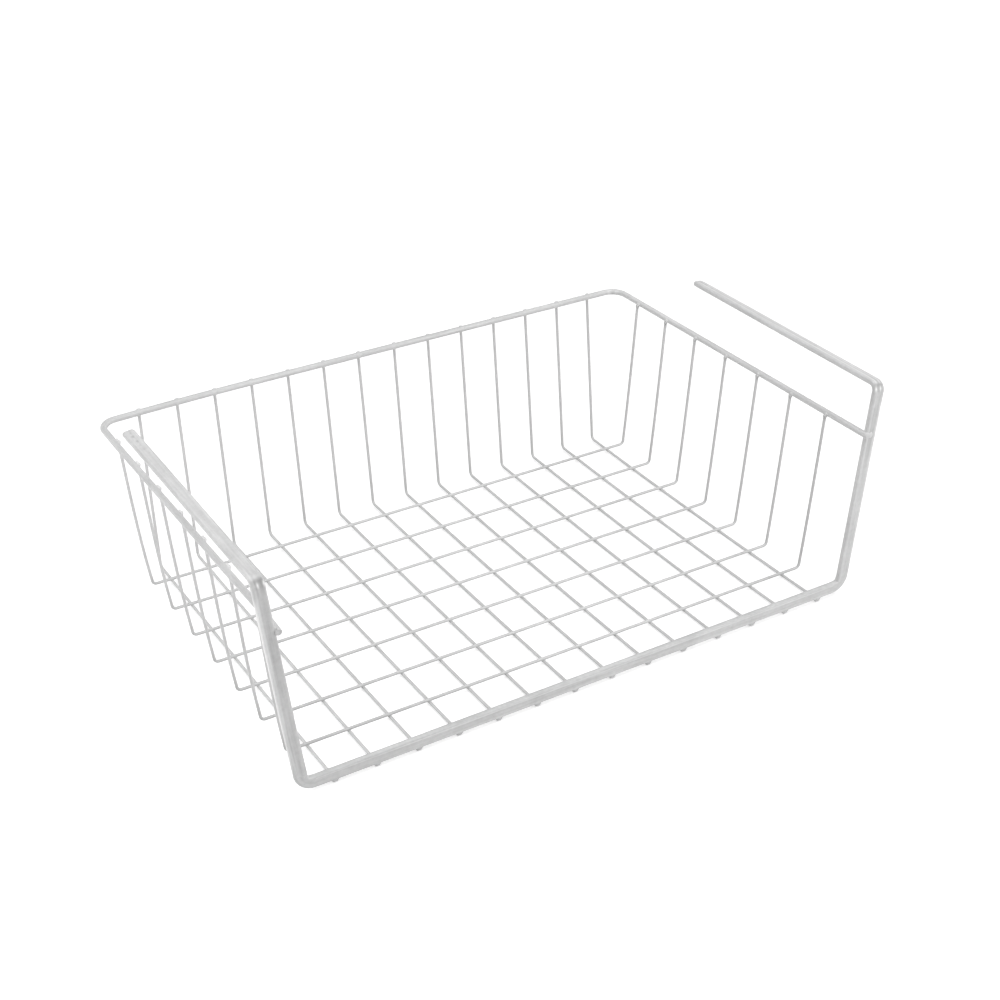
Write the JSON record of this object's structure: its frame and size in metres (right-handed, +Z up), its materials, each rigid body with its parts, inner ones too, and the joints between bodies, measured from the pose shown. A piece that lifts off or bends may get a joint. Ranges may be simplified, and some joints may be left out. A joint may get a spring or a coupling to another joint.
{
  "type": "under shelf basket",
  "caption": "Open-front welded wire basket that hangs under a shelf board by flat-oval steel arms that slide over the board.",
  "frame": {"origin": "on the surface that the basket stands on, below the middle of its bounding box", "axes": "X across the basket to its right as seen from its open front, Y from the open front to the back wall, Z up"},
  "size_m": [0.4, 0.258, 0.141],
  "materials": {
    "tube_coating": "smooth satin white powder coat on flat-oval steel tube",
    "wire_coating": "smooth satin white powder coat on round steel wire"
  },
  "bodies": {
    "root": {"front_frame": "tube_coating", "rim_wire": "wire_coating", "lengthwise_wire_01": "wire_coating", "lengthwise_wire_02": "wire_coating", "lengthwise_wire_03": "wire_coating", "lengthwise_wire_04": "wire_coating", "lengthwise_wire_05": "wire_coating", "lengthwise_wire_06": "wire_coating", "lengthwise_wire_07": "wire_coating", "lengthwise_wire_08": "wire_coating", "lengthwise_wire_09": "wire_coating", "lengthwise_wire_10": "wire_coating", "lengthwise_wire_11": "wire_coating", "lengthwise_wire_12": "wire_coating", "lengthwise_wire_13": "wire_coating", "lengthwise_wire_14": "wire_coating", "crosswise_wire_1": "wire_coating", "crosswise_wire_2": "wire_coating", "crosswise_wire_3": "wire_coating", "crosswise_wire_4": "wire_coating", "crosswise_wire_5": "wire_coating", "crosswise_wire_6": "wire_coating", "crosswise_wire_7": "wire_coating"}
  },
  "joints": []
}
